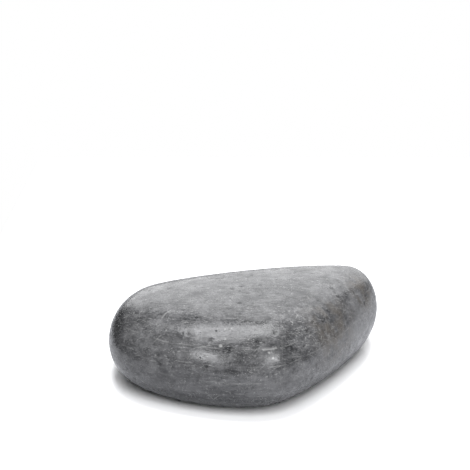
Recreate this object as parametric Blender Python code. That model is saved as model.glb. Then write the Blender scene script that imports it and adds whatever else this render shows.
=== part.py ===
"""Basalt massage stone: one polished pebble that rests on a flat face.

Lengths are metres, +Z is up and +X is the long axis. The origin is on the
resting face, under the centre of the box around the stone.

The skin is a soft hull around four rounded lumps. A soft hull is found from
its reach: how far it stands out in each direction. Where one lump stands out
furthest the skin follows it, and between lumps the skin bows gently across.
"""

import math

import bmesh
import bpy
from mathutils import Vector

# The box around the stone, and the level where the stone is widest.
LENGTH = 0.098
WIDTH = 0.073
THICKNESS = 0.032
BELLY_HEIGHT = 0.015

# How much is worn off the underside to leave the flat resting face.
FOOT_WEAR = 0.001

# The lumps: where each one's middle is in plan, its radius in plan and its half height.
LUMPS = (
    (Vector((-0.0270, -0.0010, 0.0)), 0.0153, 0.0141),
    (Vector((-0.0056, -0.0258, 0.0)), 0.0158, 0.0138),
    (Vector((0.0439, 0.0005, 0.0)), 0.0108, 0.0143),
    (Vector((-0.0164, 0.0166, 0.0)), 0.0144, 0.0132),
)

# A higher tightness draws the skin closer to the lumps.
TIGHTNESS = 8

# How finely the skin is divided. A gather above 1 draws its rings together where the
# top and the foot are nearly flat, because the skin turns least there.
SKIN_SEGMENTS = 108
SKIN_RINGS = 28
RING_GATHER = 1.6

UP = Vector((0.0, 0.0, 1.0))
LONG_WAY = Vector((1.0, 0.0, 0.0))
SHORT_WAY = Vector((0.0, 1.0, 0.0))

STONE_GREY = (0.19, 0.19, 0.195, 1.0)
STONE_ROUGHNESS = 0.42


def clear_scene():
    for old_object in list(bpy.data.objects):
        bpy.data.objects.remove(old_object, do_unlink=True)


def lump_reach(lump, facing):
    """Return how far one lump stands out along a direction, and the point where it does."""
    middle, radius, half_height = lump
    stretched = Vector((facing.x * radius, facing.y * radius, facing.z * half_height))
    spread = stretched.length
    touching = Vector((stretched.x * radius, stretched.y * radius, stretched.z * half_height)) / spread
    return middle.dot(facing) + spread, middle + touching


def soft_hull(facing):
    """Return the hull's reach along a direction, and the point of its skin that faces it."""
    total = 0.0
    weighted = Vector()
    for lump in LUMPS:
        reach, point = lump_reach(lump, facing)
        if reach > 0:
            total += reach ** TIGHTNESS
            weighted += point * reach ** (TIGHTNESS - 1)
    hull_reach = total ** (1 / TIGHTNESS)
    return hull_reach, weighted / hull_reach ** (TIGHTNESS - 1)


def reach_along(facing):
    return soft_hull(facing)[0]


def box_fit(way, size):
    """Return the hull's middle along one way and the scale that brings its span to the size."""
    ahead = reach_along(way)
    behind = reach_along(-way)
    return (ahead - behind) / 2, size / (ahead + behind)


def gathered_facing(direction):
    """Return a unit direction tilted closer to straight up or down than the one given."""
    quarter_turn = math.pi / 2
    tilt = quarter_turn - abs(math.asin(max(-1.0, min(1.0, direction.z))))
    gathered_tilt = quarter_turn * (tilt / quarter_turn) ** RING_GATHER
    bearing = math.atan2(direction.y, direction.x)
    return Vector((
        math.cos(bearing) * math.sin(gathered_tilt),
        math.sin(bearing) * math.sin(gathered_tilt),
        math.copysign(math.cos(gathered_tilt), direction.z),
    ))


def shape_skin(mesh):
    """Move each point of a unit sphere to the skin's point that faces its gathered direction."""
    middle_x, scale_x = box_fit(LONG_WAY, LENGTH)
    middle_y, scale_y = box_fit(SHORT_WAY, WIDTH)
    scale_above = (THICKNESS - BELLY_HEIGHT) / reach_along(UP)
    scale_below = (BELLY_HEIGHT + FOOT_WEAR) / reach_along(-UP)
    for vert in mesh.verts:
        point = soft_hull(gathered_facing(vert.co))[1]
        scale_z = scale_above if point.z > 0 else scale_below
        vert.co = (
            (point.x - middle_x) * scale_x,
            (point.y - middle_y) * scale_y,
            point.z * scale_z + BELLY_HEIGHT,
        )


def wear_flat_foot(mesh):
    """Cut off what lies under the resting level and close the cut with one flat face."""
    everything = mesh.verts[:] + mesh.edges[:] + mesh.faces[:]
    cut = bmesh.ops.bisect_plane(mesh, geom=everything, plane_co=(0, 0, 0), plane_no=UP, clear_inner=True)
    rim = [item for item in cut["geom_cut"] if isinstance(item, bmesh.types.BMEdge)]
    bmesh.ops.contextual_create(mesh, geom=rim)


def stone_material():
    material = bpy.data.materials.new("polished_basalt")
    material.use_nodes = True
    shader = material.node_tree.nodes["Principled BSDF"]
    shader.inputs["Base Color"].default_value = STONE_GREY
    shader.inputs["Roughness"].default_value = STONE_ROUGHNESS
    shader.inputs["Metallic"].default_value = 0.0
    material.diffuse_color = STONE_GREY
    return material


def add_stone():
    mesh = bmesh.new()
    bmesh.ops.create_uvsphere(mesh, u_segments=SKIN_SEGMENTS, v_segments=SKIN_RINGS, radius=1.0)
    shape_skin(mesh)
    wear_flat_foot(mesh)
    bmesh.ops.recalc_face_normals(mesh, faces=mesh.faces)
    data = bpy.data.meshes.new("stone")
    mesh.to_mesh(data)
    mesh.free()
    data.materials.append(stone_material())
    data.shade_smooth()
    data.set_sharp_from_angle(angle=math.radians(35))
    stone = bpy.data.objects.new("stone", data)
    bpy.context.scene.collection.objects.link(stone)


clear_scene()
add_stone()
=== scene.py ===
"""Basalt massage stone: the polished skin and finish of one pebble, and a plain studio around it."""
import math

import bpy
from bpy.props import FloatProperty, FloatVectorProperty, IntProperty, PointerProperty
from mathutils import Matrix, Vector


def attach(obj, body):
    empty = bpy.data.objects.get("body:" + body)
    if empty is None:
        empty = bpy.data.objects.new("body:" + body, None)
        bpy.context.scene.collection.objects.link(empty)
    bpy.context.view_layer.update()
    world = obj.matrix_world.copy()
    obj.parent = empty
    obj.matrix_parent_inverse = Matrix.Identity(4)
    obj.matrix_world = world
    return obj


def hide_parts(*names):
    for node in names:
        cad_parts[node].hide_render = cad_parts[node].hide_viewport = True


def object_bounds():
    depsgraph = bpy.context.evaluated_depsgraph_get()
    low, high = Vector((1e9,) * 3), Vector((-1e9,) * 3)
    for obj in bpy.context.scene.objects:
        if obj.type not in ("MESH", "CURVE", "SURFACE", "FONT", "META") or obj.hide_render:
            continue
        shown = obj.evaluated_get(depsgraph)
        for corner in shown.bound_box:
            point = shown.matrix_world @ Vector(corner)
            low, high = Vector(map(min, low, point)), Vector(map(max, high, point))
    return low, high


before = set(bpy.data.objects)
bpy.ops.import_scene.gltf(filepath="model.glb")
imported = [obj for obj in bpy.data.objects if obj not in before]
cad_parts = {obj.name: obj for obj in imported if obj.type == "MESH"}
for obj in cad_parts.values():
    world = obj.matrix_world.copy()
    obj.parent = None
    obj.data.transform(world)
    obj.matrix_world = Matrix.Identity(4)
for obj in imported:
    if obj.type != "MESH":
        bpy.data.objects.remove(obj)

bl_info = {
    "name": "Basalt Massage Stone",
    "version": (1, 0, 0),
    "blender": (4, 5, 0),
    "location": "3D View > Sidebar > Stone",
    "description": "Makes a polished basalt massage stone and a plain studio around it",
    "category": "Add Mesh",
}

CAD_LOW, CAD_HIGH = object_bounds()
CAD_SIZE = CAD_HIGH - CAD_LOW

# The lumps that the skin is drawn around: name, middle in plan, radius in plan, half height.
LUMPS = (
    ("Broad End", (-0.0270, -0.0010, 0.0), 0.0153, 0.0141),
    ("Front Corner", (-0.0056, -0.0258, 0.0), 0.0158, 0.0138),
    ("Narrow End", (0.0439, 0.0005, 0.0), 0.0108, 0.0143),
    ("Back Corner", (-0.0164, 0.0166, 0.0), 0.0144, 0.0132),
)

# The ball that is drawn out into the skin, and how strongly its points gather at the top and the foot.
BALL_SEGMENTS = 480
BALL_RINGS = 240
GATHER = 1.6

# Passes of smoothing once the skin is even, and the height below which the skin is the flat foot.
SMOOTHING_PASSES = 6
FOOT_GRIP = 0.0004
# The smallest pit beside the largest before both are squared, the share of its depth at which a pit's
# floor flattens, and how softly it does.
SMALLEST_PIT = 0.12
PIT_FLOOR = 0.7
PIT_ROUNDING = 0.3
PIT_ATTRIBUTE = "pit"

# The rock's grain runs level, at this bearing from the stone's long axis. Every place and size of a
# mark below is in millimetres: along the grain, across it, and up.
GRAIN_BEARING = math.radians(-29)
MM_PER_METRE = 1000.0

# The parts of the rock's tone: name, patch length, width and height, detail, roughness and share.
TONE_PARTS = (
    ("patches", (7.0, 7.0, 4.2), 3.0, 0.5, 1.1),
    ("mottle", (2.6, 2.6, 1.56), 4.0, 0.62, 1.35),
    ("streaks", (6.0, 1.1, 0.45), 3.0, 0.6, 0.95),
    ("grain", (0.5, 0.5, 0.3), 2.0, 0.6, 0.88),
)
# Painted shade along the stone's low rim, near the floor: the colour darkens from one height down to
# another.
PAINTED_SHADE_TOP = 11.0
PAINTED_SHADE_BOTTOM = 4.0
PAINTED_SHADE_CHANGE = -0.5

# The nets of veins: name, spacing and a vein's width. They are dense around one corner.
VEIN_NETS = (("wide net", 5.2, 0.15), ("close net", 3.1, 0.10))
VEINED_CORNER = (15.5, -22.0, 24.5)
# Single marks on the skin. An area or a spot has its middle and its reach.
BED_HEIGHTS = (9.6, 14.4, 19.5, 24.1)
WARM_AREAS = (((24.0, -14.0, 21.0), 17.0), ((35.0, 11.0, 25.5), 10.0))
UPRIGHT_LINES_AREA = ((2.0, -35.0, 23.0), 19.0)
RING_MIDDLE = (-2.7, -7.0, 31.8)
RING_RADIUS = 3.7
DARK_PITS = (((-13.6, -30.5, 28.0), 0.5), ((11.0, -31.8, 22.4), 0.9))
# The first is a pale knot in the rock; the other two are painted highlights, a star-shaped glint drawn as
# pale spots.
PALE_KNOT_AND_GLINTS = (((-12.2, -34.8, 24.8), 0.75), ((2.6, -36.4, 23.2), 0.5), ((3.8, -37.1, 21.7), 0.5))
# Areas painted darker or paler, partly the rock's own tone and partly painted shade and painted highlight:
# name, middle, reach and change of tone.
TONE_AND_LIGHT_AREAS = (
    ("dark broad end", (-47.0, -11.0, 21.0), 10.0, -0.4),
    ("pale left shoulder", (-30.5, -20.6, 29.0), 8.0, 0.25),
    ("pale low front", (5.0, -37.5, 9.5), 17.0, 0.4),
    ("dark middle of the brow", (-3.0, -31.0, 28.0), 8.0, -0.25),
    ("painted shade on the right end of the brow", (3.0, -27.5, 28.7), 5.5, -0.4),
    ("dark shoulder beyond the brow", (6.7, -28.8, 27.2), 5.0, -0.25),
    ("painted highlight on the left end of the brow", (-16.8, -31.2, 27.0), 6.0, 0.25),
    ("dark corner under the brow", (6.0, -34.2, 23.6), 7.0, -0.3),
    ("pale low broad end", (-38.6, -26.6, 17.3), 12.0, 0.22),
    ("pale front of the broad end", (-23.6, -35.2, 16.6), 10.0, 0.2),
    ("painted shade in the gap below the brow", (-11.5, -35.6, 24.1), 4.5, -0.25),
    ("dark low broad end", (-29.2, -31.3, 9.5), 9.0, -0.15),
    ("pale narrow end", (38.5, -3.0, 17.0), 16.0, 0.38),
    ("pale lower front", (-11.6, -38.8, 16.5), 8.0, 0.2),
    ("pale right flank", (18.6, -24.8, 19.2), 11.0, 0.16),
    ("pale right shoulder", (33.2, 5.1, 24.4), 6.5, 0.3),
    ("pale right top", (24.0, 5.1, 30.5), 13.0, 0.14),
)
# Scratches that stand out on their own, and one painted highlight drawn as a pale line, the glint on the
# upper bed: name, start, end, width and strength.
SCRATCHES_AND_GLINT = (
    ("foot of the curved scratch", (-30.6, -21.4, 28.8), (-29.6, -19.6, 29.7), 0.4, 0.8),
    ("head of the curved scratch", (-29.6, -19.6, 29.7), (-28.1, -18.7, 30.2), 0.4, 0.7),
    ("short scratch on the top", (-19.5, -8.7, 31.7), (-17.7, -12.1, 31.6), 0.35, 0.5),
    ("scratch on the broad end", (-30.7, -27.2, 25.2), (-33.4, -27.8, 22.8), 0.3, 0.55),
    # Painted highlight: a bright glint drawn into the colour as a pale line.
    ("painted glint on the upper bed", (0.8, -36.1, 24.0), (4.8, -34.8, 24.1), 0.45, 1.0),
    ("rub down the front", (3.3, -27.3, 28.7), (3.2, -35.7, 23.8), 0.2, 0.6),
    ("low scratch on the front", (-15.9, -36.3, 9.0), (-14.3, -35.6, 7.3), 0.35, 0.8),
)
# The ways in which the skin is rubbed: turn in radians, and a rubbed line's length and width. Each way
# also leans over by a share of its turn.
RUBBED_WAYS = ((0.1, 7.0, 0.2), (0.7, 5.0, 0.17), (-0.6, 5.0, 0.17), (1.5, 4.0, 0.17))
RUBBED_LEAN = 0.2

# What each kind of mark does to the rock: the share of dark or pale mineral in its colour, where the pit
# floors hold painted shade and the glints a painted highlight, how much it roughens the polish, and how far
# it stands above the skin or below it, in millimetres.
# The pit floors are darkened in the colour: painted shade in the hollows.
DARKENING = {"dark spots": 0.8, "ring": 0.6, "pit floors in painted shade": 0.85}
PALING = {"pale flecks and painted glints": 0.5, "veins": 0.34, "beds": 0.17, "rubbed": 0.3, "upright": 0.1, "deep": 0.25}
ROUGHENING = {"pits": 0.2, "rubbed": 0.15, "veins": 0.15, "dark spots": 0.2, "deep": 0.2}
RELIEF = {"dark spots": -0.08, "rubbed": -0.02, "veins": 0.02, "beds": -0.02, "deep": -0.03}
POLISH_RELIEF = 0.04
GRAIN_RELIEF = 0.018
ROCK_IOR = 1.52

# The middle of the stone's belly, on which the camera and the lights are centred.
STONE_MIDDLE = Vector((-0.006, 0.0053, 0.015))
SENSOR_WIDTH = 36.0
# Two panels of light, placed across the view, away from the camera and up from the stone's middle.
OVERHEAD_PLACE = (0.0, 0.105, 0.60)
OVERHEAD_SIZE = (0.71, 0.29)
BACKDROP_PLACE = (0.05, 0.54, 0.26)
BACKDROP_SIZE = (0.84, 0.56)
# Panels placed by direction: name, the setting with its level, bearing off straight away from the
# camera and elevation in degrees, distance, and size.
SKY_PANEL = ("sky_light", "sky_level", 150, 66, 1.0, (1.6, 1.5))
SIDE_PANELS = (
    ("left_wall_light", "wall_level", -95, 35, 1.2, (1.1, 0.8)),
    ("left_front_light", "left_front_level", -148, 30, 0.8, (0.24, 0.30)),
    ("right_front_light", "right_front_level", 144, 33, 0.8, (0.38, 0.26)),
)
FLOOR_PANELS = (
    ("floor_top_light", "floor_top_level", 180, 80, 0.9, (0.30, 0.30)),
    ("floor_front_light", "floor_front_level", 174, 40, 0.9, (0.25, 0.60)),
    ("floor_back_light", "floor_back_level", 0, 40, 0.9, (0.60, 0.60)),
)
# The floor's edges across the view and away from the camera, and its finish.
FLOOR_LEFT = -0.11
FLOOR_RIGHT = 0.30
FLOOR_NEAR = -0.30
FLOOR_FAR = 0.28
FLOOR_ROUGHNESS = 0.8
FLOOR_SPECULAR = 0.1


# ---------------------------------------------------------------- sizes and colours

class StoneForm(bpy.types.PropertyGroup):
    """The overall form of the stone."""

    length: FloatProperty(
        name="Length", description="Longest way across the stone", default=CAD_SIZE.x, unit="LENGTH")
    width: FloatProperty(
        name="Width", description="Way across the stone at right angles to its length",
        default=CAD_SIZE.y, unit="LENGTH")
    thickness: FloatProperty(
        name="Thickness", description="Height of the stone as it lies", default=CAD_SIZE.z, unit="LENGTH")
    belly_height: FloatProperty(
        name="Belly Height", description="Level where the stone is widest", default=0.015, unit="LENGTH")
    foot_wear: FloatProperty(
        name="Foot Wear", description="Depth that the flat foot is worn into the round underside",
        default=0.001, unit="LENGTH")
    tightness: FloatProperty(
        name="Tightness", description="How closely the skin is drawn around the lumps", default=8.0)
    skin_step: FloatProperty(
        name="Skin Step", description="Spacing of the points of the skin", default=0.0005, unit="LENGTH")


class StoneWear(bpy.types.PropertyGroup):
    """How tumbling and handling have worked the skin."""

    wave_height: FloatProperty(
        name="Wave Height", description="Height of the broad waves left by tumbling",
        default=0.00008, unit="LENGTH")
    wave_span: FloatProperty(
        name="Wave Span", description="Width of one broad wave", default=0.022, unit="LENGTH")
    ripple_height: FloatProperty(
        name="Ripple Height", description="Height of the small ripples in the polish",
        default=0.00005, unit="LENGTH")
    ripple_span: FloatProperty(
        name="Ripple Span", description="Width of one small ripple", default=0.0045, unit="LENGTH")
    pit_density: FloatProperty(
        name="Pit Density", description="Pits on each square metre of skin", default=22000.0)
    pit_radius: FloatProperty(
        name="Pit Radius", description="Radius of the largest pit", default=0.0011, unit="LENGTH")
    pit_depth: FloatProperty(
        name="Pit Depth", description="Depth of the largest pit", default=0.00025, unit="LENGTH")
    seed: IntProperty(name="Seed", description="Which arrangement of waves and pits is made", default=7)


class StoneFinish(bpy.types.PropertyGroup):
    """The colours and polish of the rock."""

    dark_colour: FloatVectorProperty(
        name="Dark Colour", description="Colour of the rock's dark grains", subtype="COLOR",
        default=(0.012, 0.0125, 0.0135), min=0.0, max=1.0)
    main_colour: FloatVectorProperty(
        name="Main Colour", description="Colour of most of the rock", subtype="COLOR",
        default=(0.048, 0.0482, 0.0498), min=0.0, max=1.0)
    pale_colour: FloatVectorProperty(
        name="Pale Colour", description="Colour of the rock's pale grains", subtype="COLOR",
        default=(0.102, 0.102, 0.104), min=0.0, max=1.0)
    mineral_colour: FloatVectorProperty(
        name="Mineral Colour", description="Colour of the veins, flecks and rubbed marks", subtype="COLOR",
        default=(0.36, 0.36, 0.35), min=0.0, max=1.0)
    warm_colour: FloatVectorProperty(
        name="Warm Colour", description="Colour of the faint brown patches", subtype="COLOR",
        default=(0.074, 0.067, 0.059), min=0.0, max=1.0)
    polish_roughness: FloatProperty(
        name="Polish Roughness", description="Roughness of the best polished skin", subtype="FACTOR",
        default=0.125, min=0.0, max=1.0)
    rubbed_roughness: FloatProperty(
        name="Rubbed Roughness", description="Roughness where the polish is rubbed or broken",
        subtype="FACTOR", default=0.35, min=0.0, max=1.0)


class StudioSetup(bpy.types.PropertyGroup):
    """The camera, the lights and the floor."""

    view_bearing: FloatProperty(
        name="View Bearing", description="Bearing of the camera's right, from the stone's length",
        subtype="ANGLE", default=math.radians(-29))
    view_elevation: FloatProperty(
        name="View Elevation", description="How far the camera stands above the level of the stone",
        subtype="ANGLE", default=math.radians(22))
    camera_distance: FloatProperty(
        name="Camera Distance", description="From the camera to the middle of the stone",
        default=0.466, unit="LENGTH")
    focal_length: FloatProperty(
        name="Focal Length", description="Focal length on a 36 mm sensor, in millimetres", default=107.2)
    headroom: FloatProperty(
        name="Headroom", description="How far above the stone's middle the camera aims",
        default=0.0319, unit="LENGTH")
    overhead_turn: FloatProperty(
        name="Overhead Turn", description="How far the overhead light is turned from square to the camera",
        subtype="ANGLE", default=math.radians(40))
    overhead_level: FloatProperty(
        name="Overhead Level", description="Brightness of the overhead light", default=7.6)
    backdrop_level: FloatProperty(
        name="Backdrop Level", description="Brightness of the light behind the stone", default=1.75)
    left_front_level: FloatProperty(
        name="Left Front Level", description="Brightness of the light to the left of the camera",
        default=8.5)
    right_front_level: FloatProperty(
        name="Right Front Level", description="Brightness of the light to the right of the camera",
        default=8.0)
    room_level: FloatProperty(
        name="Room Level", description="Brightness of the room around the lights", default=0.04)
    sky_level: FloatProperty(
        name="Sky Level", description="Brightness of the wide light above the camera", default=2.7)
    light_colour: FloatVectorProperty(
        name="Light Colour", description="Colour of every light", subtype="COLOR",
        default=(0.98, 0.985, 1.0), min=0.0, max=1.0)
    wall_level: FloatProperty(
        name="Wall Level", description="Brightness of the wide light on the left", default=0.65)
    floor_top_level: FloatProperty(
        name="Floor Top Level", description="Brightness of the light above the floor", default=31.0)
    floor_back_level: FloatProperty(
        name="Floor Back Level", description="Brightness of the light behind the floor", default=3.5)
    floor_front_level: FloatProperty(
        name="Floor Front Level", description="Brightness of the light before the floor", default=25.0)
    floor_colour: FloatVectorProperty(
        name="Floor Colour", description="Colour of the floor", subtype="COLOR",
        default=(0.93, 0.93, 0.93), min=0.0, max=1.0)
    bounce_colour: FloatVectorProperty(
        name="Bounce Colour", description="Colour the floor lends to the stone", subtype="COLOR",
        default=(0.52, 0.525, 0.545), min=0.0, max=1.0)


# ---------------------------------------------------------------- writing node trees

def socket_named(sockets, name):
    """Return the socket in use that has this name."""
    return next(socket for socket in sockets if socket.name == name and socket.enabled)


def fill(tree, socket, value):
    """Link a socket to another one, or set its value."""
    if isinstance(value, bpy.types.NodeSocket):
        tree.links.new(value, socket)
    else:
        socket.default_value = value


def add_node(tree, kind, inputs=None, **settings):
    """Add a node to a tree, with its settings and its inputs by name."""
    node = tree.nodes.new(kind)
    for name, value in settings.items():
        setattr(node, name, value)
    for name, value in (inputs or {}).items():
        fill(tree, socket_named(node.inputs, name), value)
    return node


def add_math(tree, operation, *values, clamp=False):
    """Add a Math node and return its result."""
    node = add_node(tree, "ShaderNodeMath", operation=operation, use_clamp=clamp)
    for socket, value in zip(node.inputs, values):
        fill(tree, socket, value)
    return node.outputs["Value"]


def add_vector_math(tree, operation, *values):
    """Add a Vector Math node and return its result."""
    node = add_node(tree, "ShaderNodeVectorMath", operation=operation)
    free_sockets = [socket for socket in node.inputs if socket.enabled]
    for socket, value in zip(free_sockets, values):
        fill(tree, socket, value)
    return next(socket for socket in node.outputs if socket.enabled)


def add_combined(tree, x, y, z):
    """Return a vector made of three numbers."""
    return add_node(tree, "ShaderNodeCombineXYZ", {"X": x, "Y": y, "Z": z}).outputs["Vector"]


def add_parts(tree, vector):
    """Return a vector's X, Y and Z."""
    return add_node(tree, "ShaderNodeSeparateXYZ", {"Vector": vector}).outputs


def centred(tree, noise):
    """Return noise that varies about zero."""
    return add_math(tree, "SUBTRACT", noise, 0.5)


def number_inputs(*names):
    """Return the entries for number inputs that new_geometry_tree takes."""
    return [(name, "NodeSocketFloat", None) for name in names]


def new_geometry_tree(name, inputs, outputs=(("Geometry", "NodeSocketGeometry", None),)):
    """Make a geometry tree with named sockets, and return it with its two end nodes."""
    tree = bpy.data.node_groups.new(name, "GeometryNodeTree")
    for direction, sockets in (("INPUT", inputs), ("OUTPUT", outputs)):
        for socket_name, kind, default in sockets:
            socket = tree.interface.new_socket(name=socket_name, in_out=direction, socket_type=kind)
            if default is not None:
                socket.default_value = default
    return tree, tree.nodes.new("NodeGroupInput"), tree.nodes.new("NodeGroupOutput")


def add_geometry_modifier(piece, tree, settings):
    """Put a geometry tree on a piece and set its inputs, by their identifiers, from a group of settings."""
    properties = settings.bl_rna.properties
    values = {properties[key].name: getattr(settings, key) for key in settings.__annotations__}
    modifier = piece.modifiers.new(tree.name, "NODES")
    modifier.node_group = tree
    for item in tree.interface.items_tree:
        if item.item_type == "SOCKET" and item.in_out == "INPUT" and item.name in values:
            modifier[item.identifier] = values[item.name]


def end_tree(tree, end, geometry, material):
    """End a geometry tree in plain geometry of one material."""
    realized = add_node(tree, "GeometryNodeRealizeInstances", {"Geometry": geometry})
    finished = add_node(
        tree, "GeometryNodeSetMaterial",
        {"Geometry": realized.outputs["Geometry"], "Material": material})
    fill(tree, end.inputs["Geometry"], finished.outputs["Geometry"])


# ---------------------------------------------------------------- the form of the stone

def lump_tree():
    """Make the group that says how one lump pulls on the skin that faces a direction."""
    tree, start, end = new_geometry_tree(
        "lump pull",
        [("Facing", "NodeSocketVector", None), ("Middle", "NodeSocketVector", None),
         *number_inputs("Radius", "Half Height", "Tightness")],
        [("Power", "NodeSocketFloat", None), ("Pull", "NodeSocketVector", None)],
    )
    given = start.outputs
    radii = add_combined(tree, given["Radius"], given["Radius"], given["Half Height"])
    stretched = add_vector_math(tree, "MULTIPLY", given["Facing"], radii)
    spread = add_vector_math(tree, "LENGTH", stretched)
    middle_reach = add_vector_math(tree, "DOT_PRODUCT", given["Middle"], given["Facing"])
    reach = add_math(tree, "MAXIMUM", add_math(tree, "ADD", middle_reach, spread), 0.0)
    touching = add_vector_math(tree, "MULTIPLY", stretched, radii)
    touching = add_vector_math(tree, "DIVIDE", touching, add_combined(tree, spread, spread, spread))
    point = add_vector_math(tree, "ADD", given["Middle"], touching)
    weight = add_math(tree, "POWER", reach, add_math(tree, "SUBTRACT", given["Tightness"], 1.0))
    pull = add_node(tree, "ShaderNodeVectorMath", {"Vector": point, "Scale": weight}, operation="SCALE")
    fill(tree, end.inputs["Power"], add_math(tree, "MULTIPLY", weight, reach))
    fill(tree, end.inputs["Pull"], pull.outputs["Vector"])
    return tree


def gathered_facing(tree, direction):
    """Tilt a unit direction towards straight up or down, where the skin turns least."""
    quarter_turn = math.pi / 2
    parts = add_parts(tree, direction)
    tilt = add_math(tree, "ARCCOSINE", add_math(tree, "ABSOLUTE", parts["Z"]))
    share = add_math(tree, "POWER", add_math(tree, "DIVIDE", tilt, quarter_turn), GATHER)
    gathered_tilt = add_math(tree, "MULTIPLY", share, quarter_turn)
    level = add_vector_math(tree, "NORMALIZE", add_combined(tree, parts["X"], parts["Y"], 0.0))
    level_parts = add_parts(tree, level)
    outward = add_math(tree, "SINE", gathered_tilt)
    side = add_math(tree, "SIGN", parts["Z"])
    upward = add_math(tree, "MULTIPLY", add_math(tree, "COSINE", gathered_tilt), side)
    return add_combined(
        tree,
        add_math(tree, "MULTIPLY", level_parts["X"], outward),
        add_math(tree, "MULTIPLY", level_parts["Y"], outward),
        upward,
    )


def hull_point(tree, facing, given):
    """Return the skin's point that faces a direction, on the soft hull around the lumps."""
    pull_group = lump_tree()
    total_power = 0.0
    total_pull = (0.0, 0.0, 0.0)
    for name, _middle, _radius, _half_height in LUMPS:
        lump = add_node(tree, "GeometryNodeGroup", node_tree=pull_group)
        fill(tree, lump.inputs["Facing"], facing)
        fill(tree, lump.inputs["Tightness"], given["Tightness"])
        for size in ("Middle", "Radius", "Half Height"):
            fill(tree, lump.inputs[size], given[name + " " + size])
        total_power = add_math(tree, "ADD", total_power, lump.outputs["Power"])
        total_pull = add_vector_math(tree, "ADD", total_pull, lump.outputs["Pull"])
    tightness_less_one = add_math(tree, "SUBTRACT", given["Tightness"], 1.0)
    hull_reach = add_math(tree, "POWER", total_power, add_math(tree, "DIVIDE", 1.0, given["Tightness"]))
    divisor = add_math(tree, "POWER", hull_reach, tightness_less_one)
    return add_vector_math(tree, "DIVIDE", total_pull, add_combined(tree, divisor, divisor, divisor))


def fitted_point(tree, position, low, high, given):
    """Scale a point of the hull so that the stone fills its box and its belly is level."""
    point = add_parts(tree, position)
    low_parts = add_parts(tree, low)
    high_parts = add_parts(tree, high)
    fitted = []
    for way, size in (("X", "Length"), ("Y", "Width")):
        middle = add_math(tree, "DIVIDE", add_math(tree, "ADD", low_parts[way], high_parts[way]), 2.0)
        span = add_math(tree, "SUBTRACT", high_parts[way], low_parts[way])
        scale = add_math(tree, "DIVIDE", given[size], span)
        fitted.append(add_math(tree, "MULTIPLY", add_math(tree, "SUBTRACT", point[way], middle), scale))
    above = add_math(tree, "SUBTRACT", given["Thickness"], given["Belly Height"])
    below = add_math(tree, "ADD", given["Belly Height"], given["Foot Wear"])
    share_above = add_math(tree, "MAXIMUM", add_math(tree, "DIVIDE", point["Z"], high_parts["Z"]), 0.0)
    share_below = add_math(tree, "MAXIMUM", add_math(tree, "DIVIDE", point["Z"], low_parts["Z"]), 0.0)
    height = add_math(tree, "ADD", given["Belly Height"], add_math(tree, "MULTIPLY", share_above, above))
    height = add_math(tree, "SUBTRACT", height, add_math(tree, "MULTIPLY", share_below, below))
    return add_combined(tree, fitted[0], fitted[1], add_math(tree, "MAXIMUM", height, 0.0))


def skin_tree(material):
    """Make the tree that draws the stone's skin around its lumps."""
    inputs = [
        ("Geometry", "NodeSocketGeometry", None),
        *number_inputs("Length", "Width", "Thickness", "Belly Height", "Foot Wear", "Tightness"),
        ("Segments", "NodeSocketInt", BALL_SEGMENTS), ("Rings", "NodeSocketInt", BALL_RINGS),
    ]
    for name, middle, radius, half_height in LUMPS:
        inputs.append((name + " Middle", "NodeSocketVector", middle))
        inputs.append((name + " Radius", "NodeSocketFloat", radius))
        inputs.append((name + " Half Height", "NodeSocketFloat", half_height))
    tree, start, end = new_geometry_tree("stone skin", inputs)
    given = start.outputs
    sphere = add_node(
        tree, "GeometryNodeMeshUVSphere",
        {"Segments": given["Segments"], "Rings": given["Rings"], "Radius": 1.0})
    direction = add_node(tree, "GeometryNodeInputPosition").outputs["Position"]
    point = hull_point(tree, gathered_facing(tree, direction), given)
    hull = add_node(
        tree, "GeometryNodeSetPosition", {"Geometry": sphere.outputs["Mesh"], "Position": point})
    box = add_node(tree, "GeometryNodeBoundBox", {"Geometry": hull.outputs["Geometry"]})
    position = add_node(tree, "GeometryNodeInputPosition").outputs["Position"]
    fitted = fitted_point(tree, position, box.outputs["Min"], box.outputs["Max"], given)
    stone = add_node(
        tree, "GeometryNodeSetPosition", {"Geometry": hull.outputs["Geometry"], "Position": fitted})
    end_tree(tree, end, stone.outputs["Geometry"], material)
    return tree


# ---------------------------------------------------------------- the wear on the skin

def add_waves(tree, position, span, height, seed):
    """Return how far smooth noise lifts the skin."""
    noise = add_node(
        tree, "ShaderNodeTexNoise",
        {"Vector": position, "W": seed, "Scale": add_math(tree, "DIVIDE", 1.0, span), "Detail": 1.0},
        noise_dimensions="4D")
    return add_math(tree, "MULTIPLY", centred(tree, noise.outputs["Fac"]), height)


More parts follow.
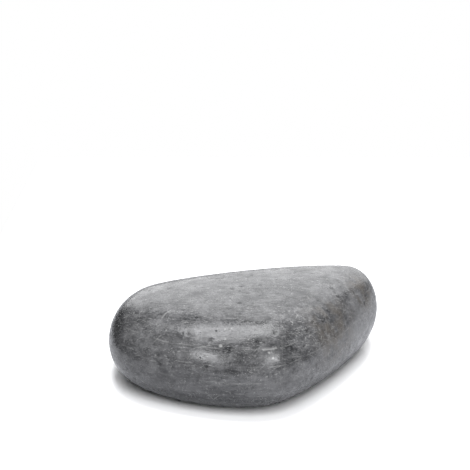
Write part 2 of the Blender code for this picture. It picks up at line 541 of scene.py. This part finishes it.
def add_pits(tree, skin, position, given):
    """Scatter pits over the skin. Return how deep each point lies in one, from 0 to 1."""
    scatter = add_node(
        tree, "GeometryNodeDistributePointsOnFaces",
        {"Mesh": skin, "Density": given["Pit Density"], "Seed": given["Seed"]})
    pits = scatter.outputs["Points"]
    nearest = add_node(tree, "GeometryNodeSampleNearest", {"Geometry": pits, "Sample Position": position})
    chance = add_node(
        tree, "FunctionNodeRandomValue", {"Min": SMALLEST_PIT, "Max": 1.0, "Seed": given["Seed"]})
    mostly_small = add_math(tree, "POWER", socket_named(chance.outputs, "Value"), 2.0)
    pit_size = add_node(
        tree, "GeometryNodeSampleIndex",
        {"Geometry": pits, "Value": mostly_small, "Index": nearest.outputs["Index"]}, data_type="FLOAT")
    pit_place = add_node(
        tree, "GeometryNodeSampleIndex",
        {"Geometry": pits, "Index": nearest.outputs["Index"]}, data_type="FLOAT_VECTOR")
    pit_position = add_node(tree, "GeometryNodeInputPosition").outputs["Position"]
    fill(tree, socket_named(pit_place.inputs, "Value"), pit_position)
    gap = add_vector_math(tree, "DISTANCE", position, socket_named(pit_place.outputs, "Value"))
    share = socket_named(pit_size.outputs, "Value")
    radius = add_math(tree, "MULTIPLY", add_math(tree, "SQRT", share), given["Pit Radius"])
    bowl = add_math(tree, "SUBTRACT", 1.0, add_math(tree, "DIVIDE", gap, radius), clamp=True)
    return add_math(tree, "MULTIPLY", add_math(tree, "SMOOTH_MIN", bowl, PIT_FLOOR, PIT_ROUNDING), share)


def wear_tree(material):
    """Make the tree that smooths the skin, then adds waves, ripples and pits to it."""
    tree, start, end = new_geometry_tree("stone wear", [
        ("Geometry", "NodeSocketGeometry", None),
        ("Smoothing", "NodeSocketInt", SMOOTHING_PASSES),
        *number_inputs("Wave Height", "Wave Span", "Ripple Height", "Ripple Span"),
        *number_inputs("Pit Density", "Pit Radius", "Pit Depth"),
        ("Seed", "NodeSocketInt", None),
    ])
    given = start.outputs
    position = add_node(tree, "GeometryNodeInputPosition").outputs["Position"]
    blur = add_node(
        tree, "GeometryNodeBlurAttribute", {"Iterations": given["Smoothing"]}, data_type="FLOAT_VECTOR")
    fill(tree, socket_named(blur.inputs, "Value"), position)
    smooth = add_node(
        tree, "GeometryNodeSetPosition",
        {"Geometry": given["Geometry"], "Position": socket_named(blur.outputs, "Value")})
    smooth_skin = smooth.outputs["Geometry"]

    pit = add_pits(tree, smooth_skin, position, given)
    marked = add_node(
        tree, "GeometryNodeStoreNamedAttribute",
        {"Geometry": smooth_skin, "Name": PIT_ATTRIBUTE}, data_type="FLOAT", domain="POINT")
    fill(tree, socket_named(marked.inputs, "Value"), pit)

    waves = add_waves(tree, position, given["Wave Span"], given["Wave Height"], given["Seed"])
    ripples = add_waves(tree, position, given["Ripple Span"], given["Ripple Height"], given["Seed"])
    hollow = add_math(tree, "MULTIPLY", pit, given["Pit Depth"])
    lift = add_math(tree, "SUBTRACT", add_math(tree, "ADD", waves, ripples), hollow)
    normal = add_node(tree, "GeometryNodeInputNormal").outputs["Normal"]
    offset = add_node(tree, "ShaderNodeVectorMath", {"Vector": normal, "Scale": lift}, operation="SCALE")
    lifted = add_parts(tree, add_vector_math(tree, "ADD", position, offset.outputs["Vector"]))
    on_foot = add_math(tree, "LESS_THAN", add_parts(tree, position)["Z"], FOOT_GRIP)
    height = add_math(tree, "MULTIPLY", lifted["Z"], add_math(tree, "SUBTRACT", 1.0, on_foot))
    height = add_math(tree, "MAXIMUM", height, 0.0)
    worn = add_node(
        tree, "GeometryNodeSetPosition",
        {"Geometry": marked.outputs["Geometry"],
         "Position": add_combined(tree, lifted["X"], lifted["Y"], height)})
    shaded = add_node(tree, "GeometryNodeSetShadeSmooth", {"Geometry": worn.outputs["Geometry"]})
    end_tree(tree, end, shaded.outputs["Geometry"], material)
    return tree


# ---------------------------------------------------------------- the finish of the rock

def add_noise(tree, place, span, detail=2.0, roughness=0.5):
    """Return noise from 0 to 1 whose patches are about one span across, in millimetres."""
    node = add_node(
        tree, "ShaderNodeTexNoise",
        {"Vector": place, "Scale": 1.0 / span, "Detail": detail, "Roughness": roughness})
    return node.outputs["Fac"]


def add_range(tree, value, low, high, new_low=0.0, new_high=1.0, smooth=False):
    """Return a value moved from one range to another, and held inside it."""
    node = add_node(
        tree, "ShaderNodeMapRange",
        {"Value": value, "From Min": low, "From Max": high, "To Min": new_low, "To Max": new_high},
        interpolation_type="SMOOTHSTEP" if smooth else "LINEAR", clamp=True)
    return node.outputs["Result"]


def add_fade(tree, distance, full, gone, strength=1.0, smooth=False):
    """Return a mark's strength, which is whole up to one distance and fades to nothing at another."""
    return add_range(tree, distance, full, gone, strength, 0.0, smooth)


def add_stretched(tree, place, along, across, height):
    """Return a place measured in spans along the grain, across it and up."""
    return add_vector_math(tree, "DIVIDE", place, (along, across, height))


def add_highest(tree, values):
    """Return the highest of several values, or 0 when all are below it."""
    highest = 0.0
    for value in values:
        highest = add_math(tree, "MAXIMUM", highest, value)
    return highest


def add_colour_mix(tree, amount, first, second):
    """Return a blend of two colours."""
    node = add_node(tree, "ShaderNodeMix", {"Factor": amount}, data_type="RGBA")
    fill(tree, socket_named(node.inputs, "A"), first)
    fill(tree, socket_named(node.inputs, "B"), second)
    return socket_named(node.outputs, "Result")


def opaque(colour):
    """Return a colour with its opacity, as a colour socket takes it."""
    return (*colour, 1.0)


def add_sum(tree, start, parts):
    """Return a start value plus each part times its share."""
    total = start
    for part, share in parts:
        total = add_math(tree, "ADD", total, add_math(tree, "MULTIPLY", part, share))
    return total


def tone_with_painted_light(tree, place):
    """Return the tone from 0, dark, to 1, pale: the rock's parts, its named areas, which partly paint shade
    and highlight, and painted shade along the low rim.
    """
    parts = []
    for _name, (along, across, height), detail, roughness, share in TONE_PARTS:
        stretched = add_stretched(tree, place, along, across, height)
        noise = add_noise(tree, stretched, span=1.0, detail=detail, roughness=roughness)
        parts.append((centred(tree, noise), share))
    # The named areas paint shade and highlight into the tone, as well as the rock's own darker and paler
    # patches.
    for _name, middle, reach, change in TONE_AND_LIGHT_AREAS:
        parts.append((add_spot_at(tree, place, middle, reach), change))
    # Painted shade: the low rim darkens towards the floor.
    low_shade = add_fade(tree, add_parts(tree, place)["Z"], PAINTED_SHADE_BOTTOM, PAINTED_SHADE_TOP, smooth=True)
    parts.append((low_shade, PAINTED_SHADE_CHANGE))
    return add_sum(tree, 0.5, parts)


def add_spots(tree, place, spacing, radius, share):
    """Return small round spots, on a share of the cells of one spacing, in millimetres."""
    cells = add_node(
        tree, "ShaderNodeTexVoronoi", {"Vector": place, "Scale": 1.0 / spacing, "Randomness": 1.0})
    chance = add_parts(tree, cells.outputs["Color"])
    chosen = add_math(tree, "LESS_THAN", chance["X"], share)
    smallest = 0.4
    edge = add_math(tree, "MULTIPLY", add_math(tree, "ADD", chance["Y"], smallest), radius / spacing)
    outwards = add_math(tree, "DIVIDE", cells.outputs["Distance"], edge)
    spot = add_math(tree, "SUBTRACT", 1.0, outwards, clamp=True)
    return add_math(tree, "MULTIPLY", spot, chosen)


def add_spot_at(tree, place, middle, reach):
    """Return one soft round spot."""
    core = 0.3
    gap = add_vector_math(tree, "DISTANCE", place, middle)
    return add_fade(tree, gap, core * reach, reach, smooth=True)


def add_spots_at(tree, place, spots):
    """Return several soft round spots, each with a middle and a reach."""
    return add_highest(tree, [add_spot_at(tree, place, middle, reach) for middle, reach in spots])


def bent_place(tree, place, span, reach):
    """Return a place pushed about by noise, so that lines drawn from it wander."""
    noise = add_node(tree, "ShaderNodeTexNoise", {"Vector": place, "Scale": 1.0 / span, "Detail": 3.0})
    push = add_vector_math(tree, "SUBTRACT", noise.outputs["Color"], (0.5, 0.5, 0.5))
    return add_vector_math(tree, "ADD", place, add_vector_math(tree, "MULTIPLY", push, (reach,) * 3))


def vein_net(tree, place):
    """Return the net of pale hairline veins, dense on the front corner and faint in patches elsewhere."""
    bent = bent_place(tree, place, span=2.6, reach=2.4)
    nets = []
    for _name, spacing, width in VEIN_NETS:
        cells = add_node(
            tree, "ShaderNodeTexVoronoi", {"Vector": bent, "Scale": 1.0 / spacing},
            feature="DISTANCE_TO_EDGE")
        nets.append(add_fade(tree, cells.outputs["Distance"], full=0.0, gone=width / spacing))
    from_corner = add_vector_math(tree, "DISTANCE", place, VEINED_CORNER)
    near_corner = add_fade(tree, from_corner, full=6.0, gone=20.0, smooth=True)
    patches = add_noise(tree, place, span=15.0)
    faint = add_range(tree, patches, low=0.5, high=0.7, new_low=0.05, new_high=0.25)
    broken = add_range(tree, add_noise(tree, place, span=1.5), low=0.48, high=0.6)
    strength = add_math(tree, "MAXIMUM", near_corner, faint)
    veins = add_math(tree, "MULTIPLY", add_highest(tree, nets), strength)
    return add_math(tree, "MULTIPLY", veins, broken)


def bedding_lines(tree, place):
    """Return thin level lines where the rock's beds meet the skin, broken along their length."""
    sway_reach = 0.9
    sway = add_math(tree, "MULTIPLY", centred(tree, add_noise(tree, place, span=14.0)), sway_reach)
    level = add_math(tree, "ADD", add_parts(tree, place)["Z"], sway)
    lines = []
    for height in BED_HEIGHTS:
        gap = add_math(tree, "ABSOLUTE", add_math(tree, "SUBTRACT", level, height))
        lines.append(add_fade(tree, gap, full=0.05, gone=0.2))
    broken = add_range(tree, add_noise(tree, place, span=5.0, detail=1.0), low=0.44, high=0.58)
    return add_math(tree, "MULTIPLY", add_highest(tree, lines), broken)


def fine_scratches(tree, place):
    """Return fine rubbed scratches that cross the skin in a few directions."""
    scratches = []
    for turn, length, width in RUBBED_WAYS:
        turned = add_node(
            tree, "ShaderNodeMapping", {"Vector": place, "Rotation": (RUBBED_LEAN * turn, turn, turn)})
        stretched = add_stretched(tree, turned.outputs["Vector"], along=length, across=width, height=0.9)
        noise = add_noise(tree, stretched, span=1.0, detail=0.0)
        scratches.append(add_range(tree, noise, low=0.73, high=0.83))
    return add_highest(tree, scratches)


def upright_lines(tree, place):
    """Return the faint upright hairlines on the front."""
    stretched = add_stretched(tree, place, along=0.4, across=0.4, height=7.0)
    lines = add_range(tree, add_noise(tree, stretched, span=1.0, detail=1.0), low=0.56, high=0.72)
    return add_math(tree, "MULTIPLY", lines, add_spot_at(tree, place, *UPRIGHT_LINES_AREA))


def add_line(tree, place, start, end, width):
    """Return one straight scratch between two places, fading in strength towards its edges."""
    core = 0.25
    way = Vector(end) - Vector(start)
    offset = add_vector_math(tree, "SUBTRACT", place, start)
    share = add_vector_math(tree, "DOT_PRODUCT", offset, tuple(way / way.length_squared))
    held = add_math(tree, "ADD", share, 0.0, clamp=True)
    nearest = add_node(
        tree, "ShaderNodeVectorMath", {"Vector": tuple(way), "Scale": held}, operation="SCALE")
    gap = add_vector_math(tree, "DISTANCE", offset, nearest.outputs["Vector"])
    return add_fade(tree, gap, core * width, width)


def deep_scratches_and_glint(tree, place):
    """Return the few scratches that stand out on their own, and the painted glint on the upper bed."""
    bent = bent_place(tree, place, span=1.6, reach=0.5)
    lines = []
    for _name, start, end, width, strength in SCRATCHES_AND_GLINT:
        lines.append(add_math(tree, "MULTIPLY", add_line(tree, bent, start, end, width), strength))
    return add_highest(tree, lines)


def ring_stain(tree, place):
    """Return the dark broken ring on the top of the stone."""
    bent = bent_place(tree, place, span=1.6, reach=1.6)
    from_middle = add_vector_math(tree, "DISTANCE", bent, RING_MIDDLE)
    gap = add_math(tree, "ABSOLUTE", add_math(tree, "SUBTRACT", from_middle, RING_RADIUS))
    broken = add_range(tree, add_noise(tree, place, span=2.4), low=0.4, high=0.55)
    return add_math(tree, "MULTIPLY", add_fade(tree, gap, full=0.1, gone=0.75), broken)


def warm_patches(tree, place):
    """Return the faint brown patches."""
    core = 0.2
    areas = []
    for middle, reach in WARM_AREAS:
        gap = add_vector_math(tree, "DISTANCE", place, middle)
        areas.append(add_fade(tree, gap, core * reach, reach, strength=0.8, smooth=True))
    patches = add_range(tree, add_noise(tree, place, span=4.5), low=0.38, high=0.58)
    return add_math(tree, "MULTIPLY", add_highest(tree, areas), patches)


def rock_marks(tree, place):
    """Return where each kind of mark lies on the rock, by the mark's name; the pit floors carry painted
    shade and the pale spots painted glints.
    """
    dark_spots = add_spots(tree, place, spacing=1.9, radius=0.5, share=0.4)
    shifted = add_vector_math(tree, "ADD", place, (31.0, 17.0, 5.0))
    pale_spots = add_spots(tree, shifted, spacing=1.8, radius=0.36, share=0.3)
    pits = add_node(tree, "ShaderNodeAttribute", attribute_name=PIT_ATTRIBUTE).outputs["Fac"]
    return {
        "pits": pits,
        "pit floors in painted shade": add_range(tree, pits, low=0.05, high=0.6),
        "dark spots": add_highest(tree, (dark_spots, add_spots_at(tree, place, DARK_PITS))),
        "pale flecks and painted glints": add_highest(tree, (pale_spots, add_spots_at(tree, place, PALE_KNOT_AND_GLINTS))),
        "veins": vein_net(tree, place),
        "beds": bedding_lines(tree, place),
        "rubbed": fine_scratches(tree, place),
        "upright": upright_lines(tree, place),
        "deep": deep_scratches_and_glint(tree, place),
        "ring": ring_stain(tree, place),
    }


def rock_colour(tree, place, tone, marks, finish):
    """Return the stone's colour: its tone, with the painted shade and highlight in it, then its brown
    patches, its dark marks and its pale ones, which include painted shade in the pits and painted glints.
    """
    dark = opaque(finish.dark_colour)
    mineral = opaque(finish.mineral_colour)
    lower = add_colour_mix(tree, add_range(tree, tone, 0.0, 0.5), dark, opaque(finish.main_colour))
    colour = add_colour_mix(tree, add_range(tree, tone, 0.5, 1.0), lower, opaque(finish.pale_colour))
    colour = add_colour_mix(tree, warm_patches(tree, place), colour, opaque(finish.warm_colour))
    for shares, mark_colour in ((DARKENING, dark), (PALING, mineral)):
        for name, share in shares.items():
            amount = add_math(tree, "MULTIPLY", marks[name], share)
            colour = add_colour_mix(tree, amount, colour, mark_colour)
    return colour


def rock_roughness(tree, place, marks, finish):
    """Return how rough the polish is: worn in patches and broken by marks."""
    stretched = add_stretched(tree, place, along=1.3, across=1.0, height=0.7)
    wear = add_noise(tree, stretched, span=2.4, detail=4.0, roughness=0.65)
    broad_share = 0.6
    wear = add_sum(tree, wear, [(centred(tree, add_noise(tree, place, span=7.0)), broad_share)])
    roughness = add_range(
        tree, wear, low=0.33, high=0.68,
        new_low=finish.polish_roughness, new_high=finish.rubbed_roughness)
    return add_sum(tree, roughness, [(marks[name], change) for name, change in ROUGHENING.items()])


def rock_relief(tree, place, tone, marks):
    """Return how far the fine relief stands above the skin, in millimetres."""
    orange_peel = add_noise(tree, place, span=1.7, detail=3.0, roughness=0.6)
    parts = [(orange_peel, POLISH_RELIEF), (tone, GRAIN_RELIEF)]
    parts += [(marks[name], height) for name, height in RELIEF.items()]
    return add_sum(tree, 0.0, parts)


def stone_material(finish):
    """Make the polished rock, with its grain, veins, flecks, pits and rubbed marks."""
    material = bpy.data.materials.new("polished_basalt")
    material.use_nodes = True
    tree = material.node_tree
    shader = tree.nodes["Principled BSDF"]
    coordinates = add_node(tree, "ShaderNodeTexCoord").outputs["Object"]
    turned = add_node(
        tree, "ShaderNodeMapping",
        {"Vector": coordinates, "Rotation": (0.0, 0.0, -GRAIN_BEARING), "Scale": (MM_PER_METRE,) * 3})
    place = turned.outputs["Vector"]
    tone = tone_with_painted_light(tree, place)
    marks = rock_marks(tree, place)
    fill(tree, shader.inputs["Base Color"], rock_colour(tree, place, tone, marks, finish))
    fill(tree, shader.inputs["Roughness"], rock_roughness(tree, place, marks, finish))
    shader.inputs["IOR"].default_value = ROCK_IOR
    bump = add_node(
        tree, "ShaderNodeBump",
        {"Height": rock_relief(tree, place, tone, marks), "Strength": 1.0, "Distance": 1.0 / MM_PER_METRE})
    fill(tree, shader.inputs["Normal"], bump.outputs["Normal"])
    return material


# ---------------------------------------------------------------- the stone

def empty_piece(name):
    """Add an object with an empty mesh, for its modifiers to fill."""
    piece = bpy.data.objects.new(name, bpy.data.meshes.new(name))
    bpy.context.scene.collection.objects.link(piece)
    return piece


def settle_mesh(piece):
    """Turn a piece's live modifiers into a plain mesh."""
    evaluated = piece.evaluated_get(bpy.context.evaluated_depsgraph_get())
    plain = bpy.data.meshes.new_from_object(evaluated)
    piece.modifiers.clear()
    piece.data = plain
    plain.name = piece.name


class STONE_OT_make_stone(bpy.types.Operator):
    """Make the stone: its skin around the lumps, the wear on it and its polished finish"""

    bl_idname = "stone.make_stone"
    bl_label = "Make Stone"

    def execute(self, context):
        scene = context.scene
        material = stone_material(scene.stone_finish)
        stone = empty_piece("polished_stone")
        add_geometry_modifier(stone, skin_tree(material), scene.stone_form)
        remesh = stone.modifiers.new("even skin", "REMESH")
        remesh.mode = "VOXEL"
        remesh.voxel_size = scene.stone_form.skin_step
        remesh.use_smooth_shade = True
        add_geometry_modifier(stone, wear_tree(material), scene.stone_wear)
        settle_mesh(stone)
        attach(stone, "root")
        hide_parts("stone")
        return {"FINISHED"}


# ---------------------------------------------------------------- the studio

def studio_axes(setup):
    """Return the studio's directions: across the camera's view, away from the camera, and up."""
    turn = Matrix.Rotation(setup.view_bearing, 3, "Z")
    return turn @ Vector((1, 0, 0)), turn @ Vector((0, 1, 0)), Vector((0, 0, 1))


def aim(thing, target):
    """Point a camera or a light at a place."""
    thing.rotation_euler = (target - thing.location).to_track_quat("-Z", "Y").to_euler()


def add_camera(setup):
    """Add the camera, above the level of the stone and aimed a little over it."""
    _across, away, up = studio_axes(setup)
    elevation = setup.view_elevation
    towards_camera = up * math.sin(elevation) - away * math.cos(elevation)
    view_up = up * math.cos(elevation) + away * math.sin(elevation)
    data = bpy.data.cameras.new("camera")
    data.lens = setup.focal_length
    data.sensor_width = SENSOR_WIDTH
    camera = bpy.data.objects.new("camera", data)
    bpy.context.scene.collection.objects.link(camera)
    camera.location = STONE_MIDDLE + towards_camera * setup.camera_distance
    aim(camera, STONE_MIDDLE + view_up * setup.headroom)
    bpy.context.scene.camera = camera


def add_light(setup, name, level_setting, place, size):
    """Add a soft rectangular light that faces the stone. Its power is its level times pi and its area."""
    across, away, up = studio_axes(setup)
    data = bpy.data.lights.new(name, "AREA")
    data.shape = "RECTANGLE"
    data.size, data.size_y = size
    data.energy = getattr(setup, level_setting) * math.pi * size[0] * size[1]
    data.color = setup.light_colour
    light = bpy.data.objects.new(name, data)
    bpy.context.scene.collection.objects.link(light)
    light.location = STONE_MIDDLE + across * place[0] + away * place[1] + up * place[2]
    light.visible_camera = False
    aim(light, STONE_MIDDLE)
    return light


def add_panel(setup, panel):
    """Add one of the lights that are placed by direction."""
    name, level_setting, bearing_degrees, elevation_degrees, distance, size = panel
    bearing = math.radians(bearing_degrees)
    elevation = math.radians(elevation_degrees)
    level = math.cos(elevation) * distance
    place = (level * math.sin(bearing), level * math.cos(bearing), math.sin(elevation) * distance)
    return add_light(setup, name, level_setting, place, size)


def light_group(light, floor, link_state):
    """Let a light fall on the floor alone, or on everything but the floor."""
    group = bpy.data.collections.new(light.name + "_group")
    group.objects.link(floor)
    group.collection_objects[0].light_linking.link_state = link_state
    light.light_linking.receiver_collection = group


def add_stone_lights(setup):
    """Add the lights that fall on the stone. The sky light is too wide to show as a reflection."""
    overhead = add_light(setup, "overhead_light", "overhead_level", OVERHEAD_PLACE, OVERHEAD_SIZE)
    overhead.rotation_euler = (0.0, 0.0, setup.view_bearing + setup.overhead_turn)
    backdrop = add_light(setup, "backdrop_light", "backdrop_level", BACKDROP_PLACE, BACKDROP_SIZE)
    sky = add_panel(setup, SKY_PANEL)
    sky.visible_glossy = False
    return [overhead, backdrop, sky] + [add_panel(setup, panel) for panel in SIDE_PANELS]


def add_floor_lights(setup):
    """Add the lights that fall on the floor: narrow ones, which keep the shadow close to the stone."""
    return [add_panel(setup, panel) for panel in FLOOR_PANELS]


def add_lights(setup, floor):
    """Add all the lights, and part those of the stone from those of the floor."""
    for light in add_stone_lights(setup):
        light_group(light, floor, "EXCLUDE")
    for light in add_floor_lights(setup):
        light_group(light, floor, "INCLUDE")


def add_room(setup):
    """Make the room, which is dim to the stone and white where the camera sees past the floor."""
    world = bpy.data.worlds.new("studio_room")
    world.use_nodes = True
    tree = world.node_tree
    background = tree.nodes["Background"]
    seen = add_node(tree, "ShaderNodeLightPath").outputs["Is Camera Ray"]
    level = add_range(tree, seen, 0.0, 1.0, setup.room_level, 1.0)
    fill(tree, background.inputs["Strength"], level)
    background.inputs["Color"].default_value = (1.0, 1.0, 1.0, 1.0)
    bpy.context.scene.world = world


def floor_material(setup):
    """Make the plain floor, whose colour differs for the camera and for the light it throws back."""
    material = bpy.data.materials.new("studio_floor")
    material.use_nodes = True
    tree = material.node_tree
    shader = tree.nodes["Principled BSDF"]
    seen = add_node(tree, "ShaderNodeLightPath").outputs["Is Camera Ray"]
    colour = add_colour_mix(tree, seen, opaque(setup.bounce_colour), opaque(setup.floor_colour))
    fill(tree, shader.inputs["Base Color"], colour)
    shader.inputs["Roughness"].default_value = FLOOR_ROUGHNESS
    shader.inputs["Specular IOR Level"].default_value = FLOOR_SPECULAR
    return material


def add_floor(setup):
    """Add the floor, which ends where its light would fade and the white room takes over."""
    across, away, _up = studio_axes(setup)
    corners = [
        across * side + away * end
        for side, end in (
            (FLOOR_LEFT, FLOOR_NEAR), (FLOOR_RIGHT, FLOOR_NEAR),
            (FLOOR_RIGHT, FLOOR_FAR), (FLOOR_LEFT, FLOOR_FAR),
        )
    ]
    data = bpy.data.meshes.new("studio_floor")
    data.from_pydata(corners, [], [(0, 1, 2, 3)])
    data.materials.append(floor_material(setup))
    floor = bpy.data.objects.new("studio_floor", data)
    bpy.context.scene.collection.objects.link(floor)
    return floor


class STONE_OT_make_studio(bpy.types.Operator):
    """Make the stage: the floor, the lights, the room and the camera"""

    bl_idname = "stone.make_studio"
    bl_label = "Make Studio"

    def execute(self, context):
        setup = context.scene.stone_studio
        context.scene.view_settings.view_transform = "Standard"
        floor = add_floor(setup)
        add_room(setup)
        add_lights(setup, floor)
        add_camera(setup)
        return {"FINISHED"}


class STONE_PT_sidebar(bpy.types.Panel):
    """The stone's sizes, finish and studio"""

    bl_label = "Massage Stone"
    bl_idname = "STONE_PT_sidebar"
    bl_space_type = "VIEW_3D"
    bl_region_type = "UI"
    bl_category = "Stone"

    def draw(self, context):
        scene = context.scene
        for title, group in (
            ("Form", scene.stone_form), ("Wear", scene.stone_wear),
            ("Finish", scene.stone_finish), ("Studio", scene.stone_studio),
        ):
            box = self.layout.box()
            box.label(text=title)
            for name in group.__annotations__:
                box.prop(group, name)
        self.layout.operator(STONE_OT_make_stone.bl_idname)
        self.layout.operator(STONE_OT_make_studio.bl_idname)


CLASSES = (
    StoneForm, StoneWear, StoneFinish, StudioSetup,
    STONE_OT_make_stone, STONE_OT_make_studio, STONE_PT_sidebar,
)
SCENE_GROUPS = (
    ("stone_form", StoneForm), ("stone_wear", StoneWear),
    ("stone_finish", StoneFinish), ("stone_studio", StudioSetup),
)


def register():
    for each_class in CLASSES:
        bpy.utils.register_class(each_class)
    for name, group in SCENE_GROUPS:
        setattr(bpy.types.Scene, name, PointerProperty(type=group))


def unregister():
    for name, _group in reversed(SCENE_GROUPS):
        delattr(bpy.types.Scene, name)
    for each_class in reversed(CLASSES):
        bpy.utils.unregister_class(each_class)


def main():
    register()
    bpy.ops.stone.make_stone()
    bpy.ops.stone.make_studio()


if __name__ == "__main__":
    main()
